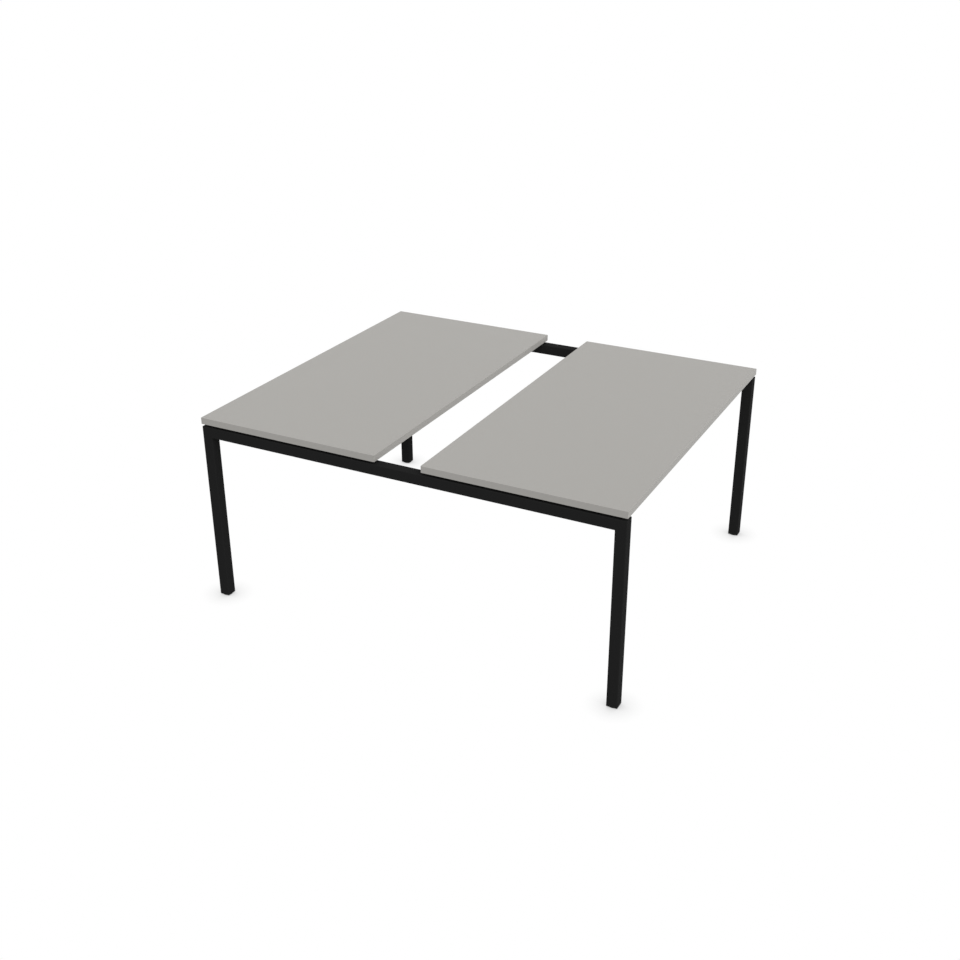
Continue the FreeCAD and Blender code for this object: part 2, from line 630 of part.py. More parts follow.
for side_name, side in SIDES.items():
    top_x = f"{side} * {TOP_CENTRE}"
    make_board(f"{side_name}_top_board", top_x)
    make_edging(f"{side_name}_top_edging", top_x)
    make_inserts(f"{side_name}_top_inserts", top_x)
    make_spacers(f"{side_name}_top_spacers", top_x)
    make_screws(f"{side_name}_top_screws", top_x)
    for beam_name, beam_place in (("inner", INNER_BEAM), ("outer", OUTER_BEAM)):
        beam_x = f"{side} * {beam_place}"
        make_beam(f"{side_name}_{beam_name}_beam", beam_x)
        make_end_plates(f"{side_name}_{beam_name}_beam_plates", beam_x)

for end_name, end in ENDS.items():
    make_rail(f"{end_name}_rail", end)
    make_rivet_nuts(f"{end_name}_rivet_nuts", end)
    make_bolts(f"{end_name}_beam_bolts", end)
    for side_name, side in SIDES.items():
        corner = f"{end_name}_{side_name}"
        leg_x = f"{side} * {LEG_X}"
        leg_y = f"{end} * {LEG_Y}"
        make_leg(f"{corner}_leg", side, end)
        make_plug(f"{corner}_leg_plug", leg_x, leg_y)
        make_nut(f"{corner}_plug_nut", leg_x, leg_y)
        make_stem(f"{corner}_glide_stem", leg_x, leg_y)
        make_pad(f"{corner}_glide_pad", leg_x, leg_y)

doc.recompute()

# Checks before anything is written

for item in doc.Objects:
    if "Invalid" in item.State or "Error" in item.State:
        raise RuntimeError(f"{item.Label} did not build: {item.State}")
    if item.TypeId == "Sketcher::SketchObject" and not item.FullyConstrained:
        raise RuntimeError(f"{item.Label} is not fully constrained")
    if item.TypeId == "PartDesign::Pocket" or item.TypeId.startswith("PartDesign::Subtractive"):
        if item.Shape.Volume >= item.BaseFeature.Shape.Volume:
            raise RuntimeError(f"{item.Label} cuts nothing")
for label, node in nodes.items():
    if node.Shape.isNull() or not node.Shape.isValid():
        raise RuntimeError(f"{label} has no valid shape")

# One STEP file for each sub-part

os.makedirs("parts", exist_ok=True)
for label, node in nodes.items():
    node.Shape.exportStep(f"parts/{label}.step")
    print(f"{label}: {len(node.Shape.Solids)} solids, {node.Shape.Volume / 1000:.1f} cm3")
print(f"{len(nodes)} sub-parts")
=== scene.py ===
import json
import math

import bmesh
import bpy
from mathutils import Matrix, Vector


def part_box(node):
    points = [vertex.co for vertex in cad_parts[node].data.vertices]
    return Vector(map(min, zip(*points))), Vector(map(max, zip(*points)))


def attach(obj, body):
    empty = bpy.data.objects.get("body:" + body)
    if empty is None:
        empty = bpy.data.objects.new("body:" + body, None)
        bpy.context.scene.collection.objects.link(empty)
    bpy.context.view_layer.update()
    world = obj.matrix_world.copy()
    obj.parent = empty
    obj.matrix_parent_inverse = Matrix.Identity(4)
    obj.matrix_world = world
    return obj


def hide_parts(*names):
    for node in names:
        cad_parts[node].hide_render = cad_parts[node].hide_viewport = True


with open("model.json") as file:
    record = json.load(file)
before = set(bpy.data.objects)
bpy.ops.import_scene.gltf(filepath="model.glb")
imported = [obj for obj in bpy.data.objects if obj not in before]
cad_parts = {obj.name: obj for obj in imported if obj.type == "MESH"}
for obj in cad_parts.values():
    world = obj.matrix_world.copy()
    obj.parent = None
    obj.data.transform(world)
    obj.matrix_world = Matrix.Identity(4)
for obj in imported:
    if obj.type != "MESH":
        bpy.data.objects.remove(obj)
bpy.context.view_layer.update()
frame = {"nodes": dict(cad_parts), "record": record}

# Meeting table with two grey worktops on a black steel frame, in metres.
# +X runs across both tops, +Y along them, +Z up, and the floor is at zero.

MM = 0.001
SIDES = ("left", "right")
ENDS = ("front", "rear")
PLACES = ("outer", "inner")
CORNERS = [f"{end}_{side}" for end in ENDS for side in SIDES]
BEAMS = [f"{side}_{place}_beam" for side in SIDES for place in PLACES]

# Camera, as the picture was taken

CAMERA_PLACE = (1.94507, -3.83018, 2.42278)
CAMERA_TILT = math.radians(64.412)
CAMERA_TURN = math.radians(27.029)
LENS_MM = 45.668
SENSOR_MM = 36
SIDE_SHIFT = -0.01074

# Light. The painted shadow round a foot on the floor fades out over its reach.

AMBIENT = 0.62
KEY_FROM = (0.61, -0.43, 0.665)
KEY_STRENGTH = 1.84
KEY_SPREAD = math.radians(60)
FLOOR_GLOW = 0.46
FLOOR_SIDE = 30.0
# Reach of the painted shadow round the feet on the floor
PAINTED_SHADOW_REACH = 85 * MM

# Colours as sRGB hex values

PAPER_WHITE = "FFFFFF"
# Grey of the painted shadow round the feet on the floor
PAINTED_SHADOW_GREY = "A0A0A0"
MELAMINE_PALE = "A9A7A3"
MELAMINE_DEEP = "A5A39F"
EDGING_PALE = "A8A6A2"
EDGING_DEEP = "A4A29E"
# Black of the coat, painted paler on the tops of its grit and darker in its hollows: painted shade
COAT_LIT_TOP = "292929"
COAT_SHADED_HOLLOW = "202020"
ZINC_BLUE = "B9BFC6"
ZINC_WARM = "C8C6BE"
BRASS_PALE = "D9BE82"
BRASS_DEEP = "B9985A"
POLYAMIDE_PALE = "181818"
POLYAMIDE_DEEP = "121212"
POLYPROPYLENE_PALE = "1A1A1A"
POLYPROPYLENE_DEEP = "151515"

# Sizes of the collared screws. The bolts hold the beams to the rails, and the screws hold the tops down.

BOLT = {"head": 4.4 * MM, "collar": 8.9 * MM, "button": 7.2 * MM, "crown": 4.4 * MM, "key": 5 * MM,
        "key_deep": 2.6 * MM, "shank": 4 * MM, "length": 16 * MM}
SCREW = {"head": 3.3 * MM, "collar": 6.8 * MM, "button": 5.4 * MM, "crown": 3.4 * MM, "key": 4 * MM,
         "key_deep": 2 * MM, "shank": 3 * MM, "length": 20 * MM}
COLLAR_RIM = 1.2 * MM
BEVEL = 0.3 * MM
BOLT_SPACING = 70 * MM
TUBE_WALL = 2 * MM

# Sizes of the glides. A ball on the stem sits in a socket in the pad's neck.

THREAD_PITCH = 1.25 * MM
THREAD_CREST = 3.95 * MM
THREAD_ROOT = 3.25 * MM
# The flats of the thread are shares of its pitch
CREST_FLAT = 1 / 8
ROOT_FLAT = 1 / 4
BALL_CENTRE = 6 * MM
BALL_RADIUS = 4.25 * MM
WAIST_RADIUS = 2.6 * MM
SPANNER_ACROSS = 13 * MM
SPANNER_BASE = 10.6 * MM
SPANNER_TOP = 14.3 * MM
SPANNER_RIM = 6.2 * MM
SPANNER_BEVEL = math.radians(30)
PAD_RADIUS = 18 * MM
PAD_THICK = 3.5 * MM
PAD_ROUND = 0.8 * MM
PAD_RECESS = 12.5 * MM
PAD_RECESS_DEEP = 0.4 * MM
NECK_RADIUS = 8.5 * MM
NECK_TOP = 9 * MM
SLIT_FLOOR = 4.8 * MM
SLIT_ANGLE = math.radians(15)
PETALS = 4
SOCKET_RADIUS = 4.31 * MM

# Sizes of the spacers and welds

SPACER_RADIUS = 12 * MM
SPACER_BORE = 3.3 * MM
SPACER_ROUND = 0.7 * MM
PARTING_RIDGE = 0.12 * MM
CORNER_WELD = 2.4 * MM
BEAM_WELD = 3.2 * MM
WELD_RIPPLE = 2.4 * MM
WELD_MARGIN = 2.5 * MM
# Shares of a bead's leg: the rise of its ripples, the depth of its root, which is also the least that it
# tapers to at its ends, and the flattening of its face
RIPPLE_RISE = 0.07
BEAD_SINK = 0.05
BEAD_FLATTEN = 0.4
# Power of the curve that closes a bead at its ends: the higher, the blunter
BEAD_END = 9

# Fineness of the meshes. Arcs stop short of a pole, in degrees, where a small cap closes them.

RING_SEGMENTS = 48
RINGS_PER_PITCH = 8
RINGS_PER_RIPPLE = 6
ARC_STEPS = 8
POLE = -88
SHARP_ANGLE = math.radians(35)
WELD_DISTANCE = 0.001 * MM


# Node helpers. The sockets of a mix of two colours go by number, because they share their names.

DARK = 6
PALE = 7
MIXED = 2
BAND_RADIANS = 20


def linear(hex_colour):
    """An sRGB hex value as linear red, green, blue and alpha."""
    channels = [int(hex_colour[place:place + 2], 16) / 255 for place in (0, 2, 4)]
    return [c / 12.92 if c <= 0.04045 else ((c + 0.055) / 1.055) ** 2.4 for c in channels] + [1.0]


def per_metre(size_mm):
    """Texture scale at which one feature of the pattern measures so many millimetres."""
    return 1 / (size_mm * MM)


def band_scale(size_mm):
    """Scale of the wave texture at which its bands are so many millimetres apart. The texture runs through
    BAND_RADIANS on each unit of its scaled coordinate."""
    return 2 * math.pi / BAND_RADIANS * per_metre(size_mm)


def add(tree, kind, settings):
    """Add a node. A socket among the settings is linked, a value goes to the socket of that name or
    number, and anything else is one of the node's own properties."""
    node = tree.nodes.new(kind)
    for key, value in settings.items():
        if isinstance(value, bpy.types.NodeSocket):
            tree.links.new(value, node.inputs[key])
        elif isinstance(key, int) or key in node.inputs:
            node.inputs[key].default_value = value
        else:
            setattr(node, key, value)
    return node


def new_tree(name):
    """A material of that name and its empty node tree."""
    material = bpy.data.materials.new(name)
    material.use_nodes = True
    material.node_tree.nodes.clear()
    return material, material.node_tree


# Materials. Each pattern lies on the object's own coordinates, in metres.

# The pearls of facing and edging are 0.5 mm across, drawn at 1.6 mm so that they show in a close view
PEARL_MM = 1.6


def melamine_facing():
    """Melamine facing, paper and resin pressed hot against a pearled plate: an even matt grey, with a very
    faint cloudiness from the paper and a soft sheen broken by the pearls."""
    material, tree = new_tree("melamine_facing")
    spot = add(tree, "ShaderNodeTexCoord", {}).outputs["Object"]
    clouds = add(tree, "ShaderNodeTexNoise", {"Vector": spot, "Scale": per_metre(160), "Detail": 3.0})
    flecks = add(tree, "ShaderNodeTexNoise", {"Vector": spot, "Scale": per_metre(5), "Detail": 4.0,
                                              "Roughness": 0.65})
    tint = add(tree, "ShaderNodeMix", {"data_type": "FLOAT", "Factor": 0.5, "A": clouds.outputs["Fac"],
                                       "B": flecks.outputs["Fac"]})
    colour = add(tree, "ShaderNodeMix", {"data_type": "RGBA", "Factor": tint.outputs[0],
                                         DARK: linear(MELAMINE_DEEP), PALE: linear(MELAMINE_PALE)})
    gloss = add(tree, "ShaderNodeMapRange", {"Value": tint.outputs[0], "To Min": 0.4, "To Max": 0.6})
    pearls = add(tree, "ShaderNodeTexVoronoi", {"feature": "SMOOTH_F1", "Vector": spot,
                                                "Scale": per_metre(PEARL_MM), "Smoothness": 0.6})
    bump = add(tree, "ShaderNodeBump", {"Height": pearls.outputs["Distance"], "Strength": 1.0,
                                        "Distance": 0.3 * MM})
    facing = add(tree, "ShaderNodeBsdfPrincipled", {
        "Base Color": colour.outputs[MIXED], "Roughness": gloss.outputs[0], "Normal": bump.outputs[0],
        "IOR": 1.5, "Specular IOR Level": 0.2})
    add(tree, "ShaderNodeOutputMaterial", {"Surface": facing.outputs[0]})
    return material


def abs_edging():
    """ABS edging, extruded and rolled with the pearl of the facing, then trimmed and buffed: the same grey,
    a little smoother and shallower in its pearl."""
    material, tree = new_tree("abs_edging")
    spot = add(tree, "ShaderNodeTexCoord", {}).outputs["Object"]
    blotches = add(tree, "ShaderNodeTexNoise", {"Vector": spot, "Scale": per_metre(25), "Detail": 3.0})
    colour = add(tree, "ShaderNodeMix", {"data_type": "RGBA", "Factor": blotches.outputs["Fac"],
                                         DARK: linear(EDGING_DEEP), PALE: linear(EDGING_PALE)})
    gloss = add(tree, "ShaderNodeMapRange", {"Value": blotches.outputs["Fac"], "To Min": 0.38,
                                             "To Max": 0.48})
    pearls = add(tree, "ShaderNodeTexVoronoi", {"feature": "SMOOTH_F1", "Vector": spot,
                                                "Scale": per_metre(PEARL_MM), "Smoothness": 0.6})
    bump = add(tree, "ShaderNodeBump", {"Height": pearls.outputs["Distance"], "Strength": 1.0,
                                        "Distance": 0.15 * MM})
    strip = add(tree, "ShaderNodeBsdfPrincipled", {
        "Base Color": colour.outputs[MIXED], "Roughness": gloss.outputs[0], "Normal": bump.outputs[0],
        "IOR": 1.53, "Specular IOR Level": 0.12})
    add(tree, "ShaderNodeOutputMaterial", {"Surface": strip.outputs[0]})
    return material


def powder_coat():
    """Fine-textured polyester powder, baked on steel: matt black with a dry, even grit that scatters light,
    with painted shade in its hollows, over the slow waves that the powder leaves as it flows."""
    material, tree = new_tree("powder_coat")
    spot = add(tree, "ShaderNodeTexCoord", {}).outputs["Object"]
    # The grit is 0.25 mm, drawn at 0.8 mm so that it shows in a close view
    grit = add(tree, "ShaderNodeTexVoronoi", {"feature": "SMOOTH_F1", "Vector": spot,
                                              "Scale": per_metre(0.8), "Smoothness": 0.35})
    # Besides the bump, the relief paints the coat darker in the hollows of the grit and paler on its tops:
    # painted shade
    relief_and_painted_shade = add(tree, "ShaderNodeMapRange", {"Value": grit.outputs["Distance"], "From Min": 0.1,
                                              "From Max": 0.6, "To Min": 1.0, "To Max": 0.0})
    waves = add(tree, "ShaderNodeTexNoise", {"Vector": spot, "Scale": per_metre(9), "Detail": 2.0})
    # Painted shade: the colour of the coat follows the relief of its grit
    colour = add(tree, "ShaderNodeMix", {"data_type": "RGBA", "Factor": relief_and_painted_shade.outputs[0],
                                         DARK: linear(COAT_SHADED_HOLLOW), PALE: linear(COAT_LIT_TOP)})
    gloss = add(tree, "ShaderNodeMapRange", {"Value": waves.outputs["Fac"], "To Min": 0.74, "To Max": 0.88})
    slow = add(tree, "ShaderNodeBump", {"Height": waves.outputs["Fac"], "Strength": 0.3,
                                        "Distance": 0.03 * MM})
    bump = add(tree, "ShaderNodeBump", {"Height": relief_and_painted_shade.outputs[0], "Strength": 0.5, "Distance": 0.09 * MM,
                                        "Normal": slow.outputs[0]})
    coat = add(tree, "ShaderNodeBsdfPrincipled", {
        "Base Color": colour.outputs[MIXED], "Roughness": gloss.outputs[0], "Normal": bump.outputs[0],
        "IOR": 1.5, "Specular IOR Level": 0.01})
    add(tree, "ShaderNodeOutputMaterial", {"Surface": coat.outputs[0]})
    return material


def zinc_plate():
    """Bright zinc plate with a clear passivation, on turned steel: a cool metal with a faint drift from blue
    to straw, and the soft scatter of a plated, not polished, surface."""
    material, tree = new_tree("zinc_plate")
    spot = add(tree, "ShaderNodeTexCoord", {}).outputs["Object"]
    drift = add(tree, "ShaderNodeTexNoise", {"Vector": spot, "Scale": per_metre(7), "Detail": 3.0})
    # Plating grain of 0.05 mm, drawn at 0.5 mm so that it shows in a close view
    grain = add(tree, "ShaderNodeTexNoise", {"Vector": spot, "Scale": per_metre(0.5), "Detail": 2.0})
    colour = add(tree, "ShaderNodeMix", {"data_type": "RGBA", "Factor": drift.outputs["Fac"],
                                         DARK: linear(ZINC_BLUE), PALE: linear(ZINC_WARM)})
    gloss = add(tree, "ShaderNodeMapRange", {"Value": grain.outputs["Fac"], "To Min": 0.24, "To Max": 0.38})
    bump = add(tree, "ShaderNodeBump", {"Height": grain.outputs["Fac"], "Strength": 0.15,
                                        "Distance": 0.01 * MM})
    plate = add(tree, "ShaderNodeBsdfPrincipled", {
        "Base Color": colour.outputs[MIXED], "Roughness": gloss.outputs[0], "Normal": bump.outputs[0],
        "Metallic": 1.0})
    add(tree, "ShaderNodeOutputMaterial", {"Surface": plate.outputs[0]})
    return material


def turned_brass():
    """Free-cutting brass as it leaves the lathe: yellow metal, slightly dulled, with fine tool rings."""
    material, tree = new_tree("turned_brass")
    spot = add(tree, "ShaderNodeTexCoord", {}).outputs["Object"]
    tarnish = add(tree, "ShaderNodeTexNoise", {"Vector": spot, "Scale": per_metre(4), "Detail": 3.0})
    # The tool rings are 0.1 mm apart, drawn at 0.4 mm so that they show in a close view
    rings = add(tree, "ShaderNodeTexWave", {"bands_direction": "Z", "Vector": spot,
                                            "Scale": band_scale(0.4)})
    colour = add(tree, "ShaderNodeMix", {"data_type": "RGBA", "Factor": tarnish.outputs["Fac"],
                                         DARK: linear(BRASS_DEEP), PALE: linear(BRASS_PALE)})
    gloss = add(tree, "ShaderNodeMapRange", {"Value": tarnish.outputs["Fac"], "To Min": 0.25,
                                             "To Max": 0.42})
    bump = add(tree, "ShaderNodeBump", {"Height": rings.outputs["Fac"], "Strength": 0.2,
                                        "Distance": 0.02 * MM})
    brass = add(tree, "ShaderNodeBsdfPrincipled", {
        "Base Color": colour.outputs[MIXED], "Roughness": gloss.outputs[0], "Normal": bump.outputs[0],
        "Metallic": 1.0})
    add(tree, "ShaderNodeOutputMaterial", {"Surface": brass.outputs[0]})
    return material


def moulded_plastic(name, deep, pale, grain_mm, dull, gloss_level):
    """A black injection-moulded plastic: the spark-eroded mould leaves a fine leathery grain, and the melt
    leaves broad patches that shine a little more."""
    material, tree = new_tree(name)
    spot = add(tree, "ShaderNodeTexCoord", {}).outputs["Object"]
    grain = add(tree, "ShaderNodeTexVoronoi", {"feature": "SMOOTH_F1", "Vector": spot,
                                               "Scale": per_metre(grain_mm), "Smoothness": 0.5})
    flow = add(tree, "ShaderNodeTexNoise", {"Vector": spot, "Scale": per_metre(14), "Detail": 3.0,
                                            "Distortion": 0.8})
    colour = add(tree, "ShaderNodeMix", {"data_type": "RGBA", "Factor": flow.outputs["Fac"],
                                         DARK: linear(deep), PALE: linear(pale)})
    gloss = add(tree, "ShaderNodeMapRange", {"Value": flow.outputs["Fac"], "To Min": dull - 0.08,
                                             "To Max": dull})
    bump = add(tree, "ShaderNodeBump", {"Height": grain.outputs["Distance"], "Strength": 0.3,
                                        "Distance": 0.02 * MM})
    plastic = add(tree, "ShaderNodeBsdfPrincipled", {
        "Base Color": colour.outputs[MIXED], "Roughness": gloss.outputs[0], "Normal": bump.outputs[0],
        "IOR": 1.53, "Specular IOR Level": gloss_level})
    add(tree, "ShaderNodeOutputMaterial", {"Surface": plastic.outputs[0]})
    return material


# The mould grain of both plastics is about 0.2 mm, drawn at 0.7 and 0.9 mm so that it shows in a close view
POLYAMIDE = moulded_plastic("moulded_polyamide", POLYAMIDE_DEEP, POLYAMIDE_PALE, grain_mm=0.7, dull=0.55,
                            gloss_level=0.12)
POLYPROPYLENE = moulded_plastic("moulded_polypropylene", POLYPROPYLENE_DEEP, POLYPROPYLENE_PALE,
                                grain_mm=0.9, dull=0.6, gloss_level=0.05)

FINISHES = {
    "melamine_board": melamine_facing(),
    "abs_edging": abs_edging(),
    "powder_coated_steel": powder_coat(),
    "zinc_plated_steel": zinc_plate(),
    "insert_brass": turned_brass(),
    "spacer_plastic": POLYAMIDE,
    "glide_plastic": POLYAMIDE,
    "plug_plastic": POLYPROPYLENE,
}


# Mesh helpers

def arc(steps, first, last):
    """Cosines and sines of the angles from first to last, in degrees."""
    for step in range(steps + 1):
        angle = math.radians(first + (last - first) * step / steps)
        yield math.cos(angle), math.sin(angle)


def round_corner(height, radius, size, first, last):
    """Outline points, each a height and a radius, on an arc about a point of the outline."""
    return [(height + size * sine, radius + size * cosine) for cosine, sine in arc(ARC_STEPS, first, last)]


def ball_arc(size, first, last):
    """Outline points on the ball of a glide, or on its socket, between two heights in degrees of arc."""
    return [(BALL_CENTRE + size * sine, size * cosine) for cosine, sine in arc(2 * ARC_STEPS, first, last)]


def hexagon(across):
    """Radius of a hexagon of that width across its flats, as a function of the angle."""
    sixth = math.pi / 3

    def radius(angle):
        return across / 2 / math.cos((angle + sixth / 2) % sixth - sixth / 2)
    return radius


def join_loops(mesh, loops, endless=False):
    """Skin a run of equal loops of points. An endless run joins its last loop to its first, and any other
    has a cap at each end."""
    following = loops[1:] + loops[:1] if endless else loops[1:]
    for near, far in zip(loops, following):
        for place in range(len(near)):
            beside = (place + 1) % len(near)
            mesh.faces.new((near[place], near[beside], far[beside], far[place]))
    if not endless:
        mesh.faces.new(reversed(loops[0]))
        mesh.faces.new(loops[-1])


def add_turned(mesh, rings, place, axis):
    """Add a closed form about an axis through a place. Each ring is a height along the axis and a radius,
    and either may depend on the angle."""
    along = Vector(axis)
    across = along.orthogonal().normalized()
    third = along.cross(across)
    loops = []
    for height, radius in rings:
        loop = []
        for step in range(RING_SEGMENTS):
            angle = 2 * math.pi * step / RING_SEGMENTS
            rise = height(angle) if callable(height) else height
            reach = radius(angle) if callable(radius) else radius
            spoke = across * math.cos(angle) + third * math.sin(angle)
            loop.append(mesh.verts.new(Vector(place) + along * rise + spoke * reach))
        loops.append(loop)
    join_loops(mesh, loops)


def add_revolved(mesh, outline, place, first=0, last=2 * math.pi):
    """Add a closed outline of heights and radii, swept about the upright axis through a place from one angle
    to another."""
    steps = round(RING_SEGMENTS * (last - first) / (2 * math.pi))
    endless = steps == RING_SEGMENTS
    loops = []
    for step in range(steps if endless else steps + 1):
        angle = first + (last - first) * step / steps
        spoke = Vector((math.cos(angle), math.sin(angle), 0))
        loops.append([mesh.verts.new(Vector(place) + spoke * radius + Vector((0, 0, height)))
                      for height, radius in outline])
    join_loops(mesh, loops, endless)


def add_bead(mesh, start, end, first, second, leg):
    """Add a fillet weld from start to end between two faces that open along first and second. It swells
    and sinks in ripples, bowed forward in the middle as the pool froze."""
    start = Vector(start)
    run = Vector(end) - start
    first = Vector(first)
    second = Vector(second)
    count = round(run.length / WELD_RIPPLE) * RINGS_PER_RIPPLE
    loops = []
    for step in range(count + 1):
        point = start + run * step / count
        from_middle = abs(2 * step / count - 1)
        ripple = math.cos(2 * math.pi * step / RINGS_PER_RIPPLE)
        swell = leg * (1 + RIPPLE_RISE * ripple) * max(math.sqrt(1 - from_middle ** BEAD_END), BEAD_SINK)
        loop = [mesh.verts.new(point - (first + second) * leg * BEAD_SINK)]
        for cosine, sine in arc(ARC_STEPS // 2, 0, 90):
            reach = (first * cosine + second * sine) * (1 - BEAD_FLATTEN * cosine * sine) * swell
            bow = run.normalized() * WELD_RIPPLE * cosine * sine * (1 - from_middle)
            loop.append(mesh.verts.new(point + reach + bow))
        loops.append(loop)
    join_loops(mesh, loops)


def fuse(mesh):
    """Make one skin of closed forms that stand on each other's faces, without the faces between them."""
    bmesh.ops.remove_doubles(mesh, verts=mesh.verts, dist=WELD_DISTANCE)
    # A face between two forms has several edges at which more than two faces meet
    buried = [face for face in mesh.faces if sum(len(edge.link_faces) > 2 for edge in face.edges) > 1]
    bmesh.ops.delete(mesh, geom=buried, context="FACES")


def make_piece(name, mesh, body, slot, *replaced):
    """Turn a mesh into a piece that moves with a body, has the finish of its slot and stands for the nodes
    that it replaces."""
    bmesh.ops.recalc_face_normals(mesh, faces=mesh.faces)
    data = bpy.data.meshes.new(name)
    mesh.to_mesh(data)
    mesh.free()
    data.materials.append(FINISHES[slot])
    data.shade_smooth()
    data.set_sharp_from_angle(angle=SHARP_ANGLE)
    piece = bpy.data.objects.new(name, data)
    bpy.context.scene.collection.objects.link(piece)
    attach(piece, body)
    if replaced:
        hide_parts(*replaced)


# Places of the fixings, from the frame

def middle(node):
    """The middle of a node's box at rest."""
    low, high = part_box(node)
    return (low + high) / 2


RAIL_LINES = {end: middle(f"{end}_rail").y for end in ENDS}
RAIL_HEIGHT = middle("front_rail").z
RAIL_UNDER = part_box("front_rail")[0].z
RAIL_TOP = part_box("front_rail")[1].z
BEAM_LINES = {beam: middle(beam).x for beam in BEAMS}


def top_fixings(side):
    """Where one top is screwed down: on both of its beams, over each rail and half way between."""
    for place in PLACES:
        for y in (RAIL_LINES["front"], 0, RAIL_LINES["rear"]):
            yield BEAM_LINES[f"{side}_{place}_beam"], y


# Screws and bolts

def collared_screw(size):
    """Rings of a collared button-head screw, from its tip to the bottom of its key socket, with its seat at
    zero."""
    rings = [(-size["length"], size["shank"] - 2 * BEVEL), (2 * BEVEL - size["length"], size["shank"]),
             (0, size["shank"]), (0, size["collar"] - BEVEL), (BEVEL, size["collar"]),
             (COLLAR_RIM - BEVEL, size["collar"]), (COLLAR_RIM, size["collar"] - BEVEL)]
    slope = math.degrees(math.acos(size["crown"] / size["button"]))
    rise = (size["head"] - COLLAR_RIM) / math.sin(math.radians(slope))
    rings += [(COLLAR_RIM + rise * sine, size["button"] * cosine)
              for cosine, sine in arc(ARC_STEPS, 0, slope)]
    floor = size["head"] - size["key_deep"]
    rings += [(size["head"], hexagon(size["key"] + BEVEL)), (size["head"] - BEVEL, hexagon(size["key"])),
              (floor, hexagon(size["key"])), (floor - BEVEL, BEVEL)]
    return rings


def make_beam_bolts(end):
    """Two bolts through each plate of one rail, seated where the beams start, with their heads towards the
    middle of the table."""
    mesh = bmesh.new()
    inwards = 1 if end == "front" else -1
    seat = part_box(BEAMS[0])[0].y * inwards
    for x in BEAM_LINES.values():
        for offset in (-BOLT_SPACING / 2, BOLT_SPACING / 2):
            add_turned(mesh, collared_screw(BOLT), (x + offset, seat, RAIL_HEIGHT), (0, inwards, 0))
    make_piece(f"{end}_bolts_turned", mesh, "frame", "zinc_plated_steel", f"{end}_beam_bolts")


def make_top_screws(side):
    """Screws that hold one top down, with their heads inside the tubes."""
    mesh = bmesh.new()
    for x, y in top_fixings(side):
        add_turned(mesh, collared_screw(SCREW), (x, y, RAIL_TOP - TUBE_WALL), (0, 0, -1))
    make_piece(f"{side}_screws_turned", mesh, "frame", "zinc_plated_steel", f"{side}_top_screws")


# Spacers

def make_spacers(side):
    """Moulded drums that float one top over the frame, with round rims and a ridge where the mould parts."""
    low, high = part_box(f"{side}_top_spacers")
    thick = high.z - low.z
    wall = SPACER_RADIUS - PARTING_RIDGE
    shoulder = wall - SPACER_ROUND
    outline = [(0, SPACER_BORE)]
    outline += round_corner(SPACER_ROUND, shoulder, SPACER_ROUND, -90, 0)
    outline += [(thick / 2 - PARTING_RIDGE, wall), (thick / 2, SPACER_RADIUS),
                (thick / 2 + PARTING_RIDGE, wall)]
    outline += round_corner(thick - SPACER_ROUND, shoulder, SPACER_ROUND, 0, 90)
    outline += [(thick, SPACER_BORE)]
    mesh = bmesh.new()
    for x, y in top_fixings(side):
        add_revolved(mesh, outline, (x, y, low.z))
    make_piece(f"{side}_spacers_moulded", mesh, "frame", "spacer_plastic", f"{side}_top_spacers")


# Glides

def thread_radius(height, depth):
    """Outline of a right-hand metric thread at a height. It goes round as the thread climbs, flat at the
    crest and at the root."""
    def radius(angle):
        turn = (height / THREAD_PITCH - angle / (2 * math.pi)) % 1
        flank = (1 - abs(2 * turn - 1) - ROOT_FLAT) / (1 - ROOT_FLAT - CREST_FLAT)
        return THREAD_ROOT + depth * (THREAD_CREST - THREAD_ROOT) * min(max(flank, 0), 1)
    return radius


def spanner_collar():
    """Rings of a hexagon collar, bevelled on both faces as a nut is. The bevel runs deeper at its
    corners."""
    reach = hexagon(SPANNER_ACROSS)

    def bevel(angle):
        return (reach(angle) - SPANNER_RIM) * math.tan(SPANNER_BEVEL)
    return [(SPANNER_BASE, SPANNER_RIM), (lambda angle: SPANNER_BASE + bevel(angle), reach),
            (lambda angle: SPANNER_TOP - bevel(angle), reach), (SPANNER_TOP, SPANNER_RIM)]


def glide_stem(tip):
    """Rings of the stem of a glide from its ball up: waist, spanner collar and thread."""
    rings = ball_arc(BALL_RADIUS, POLE, math.degrees(math.acos(WAIST_RADIUS / BALL_RADIUS)))
    rings.append((SPANNER_BASE, WAIST_RADIUS))
    rings += spanner_collar()
    rings.append((SPANNER_TOP, THREAD_ROOT))
    count = round((tip - SPANNER_TOP) / THREAD_PITCH * RINGS_PER_PITCH)
    for step in range(1, count):
        height = SPANNER_TOP + (tip - SPANNER_TOP) * step / count
        run_out = min(height - SPANNER_TOP, tip - height) / THREAD_PITCH
        rings.append((height, thread_radius(height, min(run_out, 1))))
    rings.append((tip, THREAD_ROOT - 2 * BEVEL))
    return rings


SLIT_ARC = math.degrees(math.asin((SLIT_FLOOR - BALL_CENTRE) / SOCKET_RADIUS))
MOUTH_ARC = math.degrees(math.asin((NECK_TOP - BEVEL - BALL_CENTRE) / SOCKET_RADIUS))


def glide_pad():
    """Rings of the pad of a glide from the recess in its underside, round its rim, up to the foot of its
    neck and down into the socket."""
    rim = PAD_RADIUS - PAD_ROUND
    rings = [(PAD_RECESS_DEEP, PAD_RECESS), (0, PAD_RECESS + PAD_RECESS_DEEP)]
    rings += round_corner(PAD_ROUND, rim, PAD_ROUND, -90, 0)
    rings += round_corner(PAD_THICK - PAD_ROUND, rim, PAD_ROUND, 0, 90)
    rings += round_corner(PAD_THICK + PAD_ROUND, NECK_RADIUS + PAD_ROUND, PAD_ROUND, 270, 180)
    rings.append((SLIT_FLOOR, NECK_RADIUS))
    rings += ball_arc(SOCKET_RADIUS, SLIT_ARC, POLE)
    return rings


